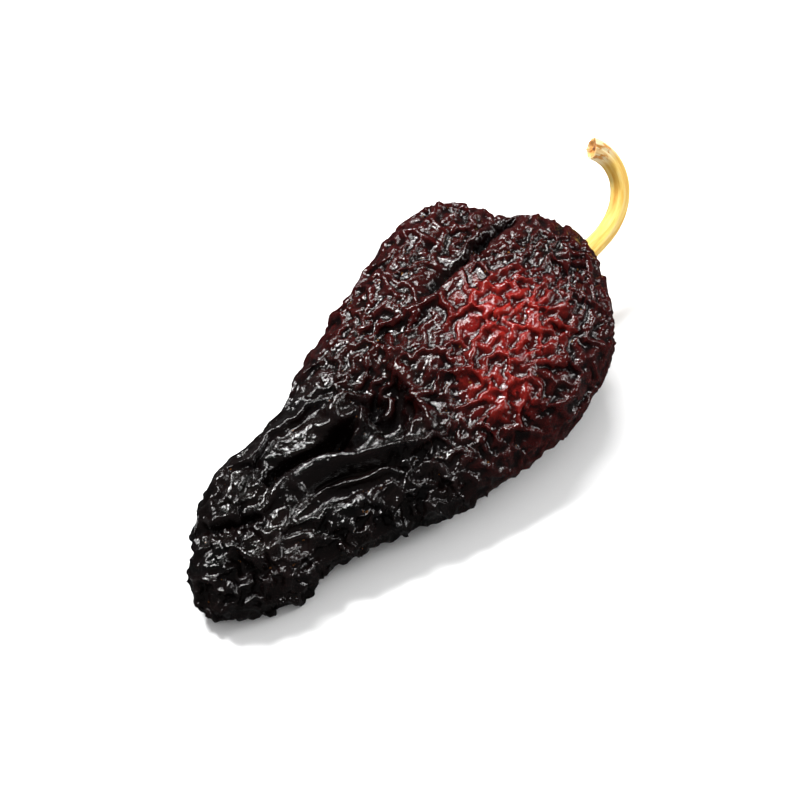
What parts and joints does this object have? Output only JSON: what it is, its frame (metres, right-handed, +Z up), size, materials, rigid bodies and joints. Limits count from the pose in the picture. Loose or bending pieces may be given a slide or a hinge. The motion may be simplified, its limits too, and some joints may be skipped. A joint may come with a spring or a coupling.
{
  "type": "dried chilli pepper",
  "caption": "Whole dried chilli pepper lying on its side: a broad, wrinkled, red-black pod with hollow shoulders, a papery cap and a hooked straw-coloured stem.",
  "frame": {"origin": "centre of the bounding box's bottom, on the surface that the chilli lies on", "axes": "+X from the blunt tip towards the stem, +Y towards the narrower left-hand lobe, +Z up"},
  "size_m": [0.1508, 0.0646, 0.0335],
  "materials": {
    "pod_skin": "waxy, wrinkled dried skin, nearly black with deep red where it is thin",
    "calyx_skin": "dull, veined, papery tan-brown",
    "stem_bark": "dry, ribbed straw yellow with orange streaks"
  },
  "bodies": {
    "root": {"pod": "pod_skin", "calyx": "calyx_skin", "stem": "stem_bark"}
  },
  "joints": []
}
